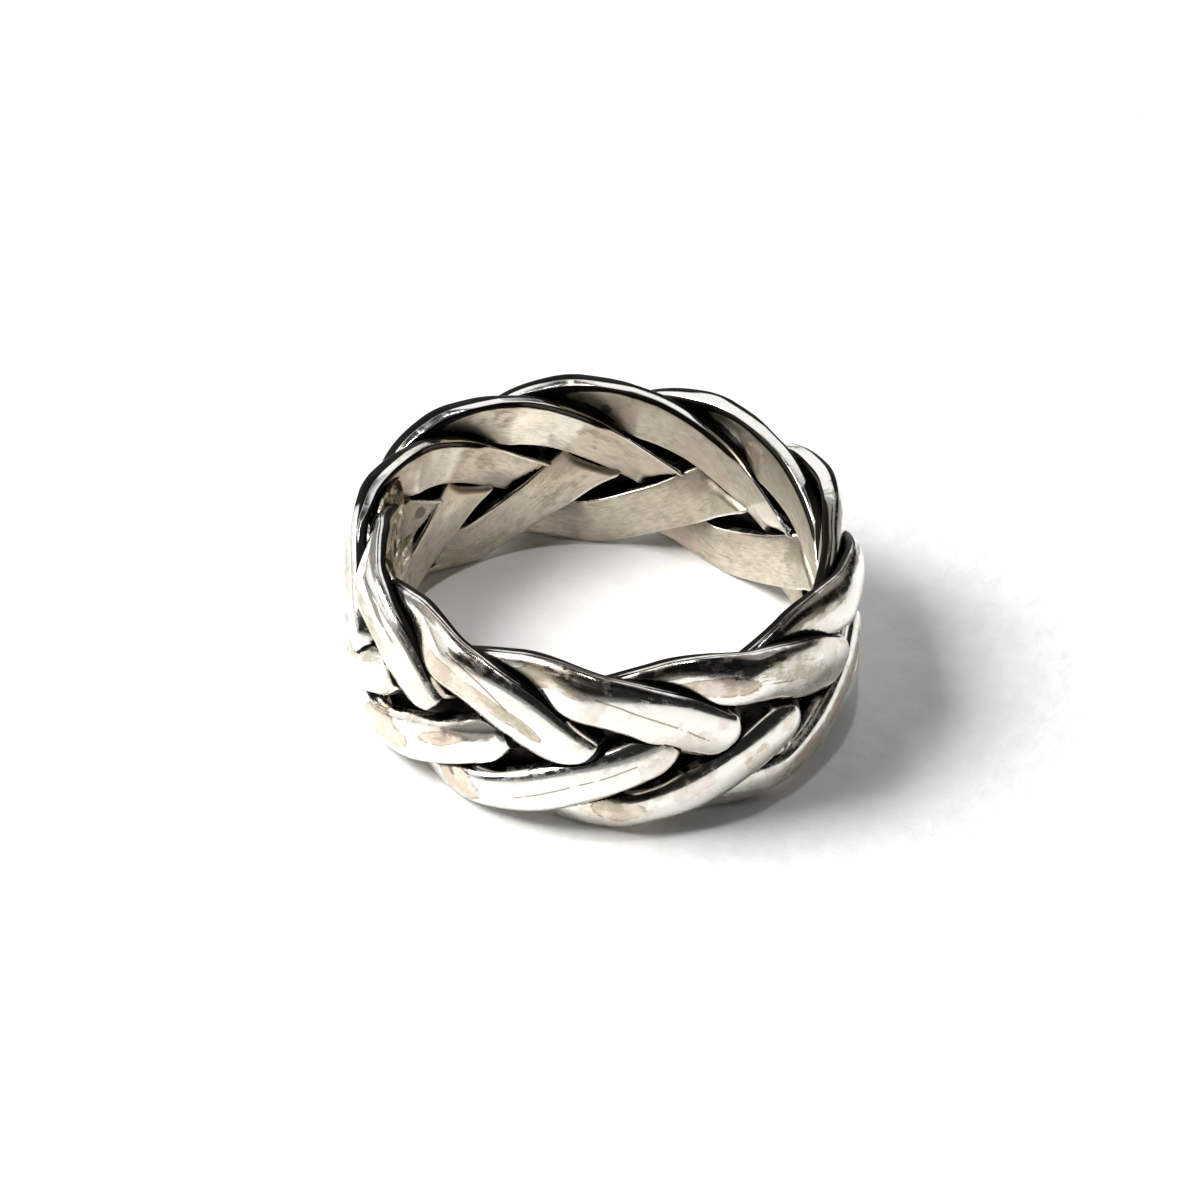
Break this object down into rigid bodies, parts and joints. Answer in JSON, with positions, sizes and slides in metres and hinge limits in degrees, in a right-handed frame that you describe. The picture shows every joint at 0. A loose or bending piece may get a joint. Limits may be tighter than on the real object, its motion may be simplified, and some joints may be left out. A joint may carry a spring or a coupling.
{
  "type": "braided band ring",
  "caption": "Finger ring plaited flat from silver strands, domed outside and smooth inside, with blackened gaps between the crossings.",
  "frame": {"origin": "centre of the box's lower face: on the finger's axis, in the plane that the ring lies on", "axes": "+Z along the finger's axis, up from the surface that the ring lies on; +X to the right and +Y away from the viewer in the picture"},
  "size_m": [0.0218, 0.0219, 0.0082],
  "materials": {
    "polished_silver": "polished silver with blackened recesses and a soft brushed inner face"
  },
  "bodies": {
    "root": {"strand_1": "polished_silver", "strand_2": "polished_silver", "strand_3": "polished_silver", "strand_4": "polished_silver", "strand_5": "polished_silver"}
  },
  "joints": []
}
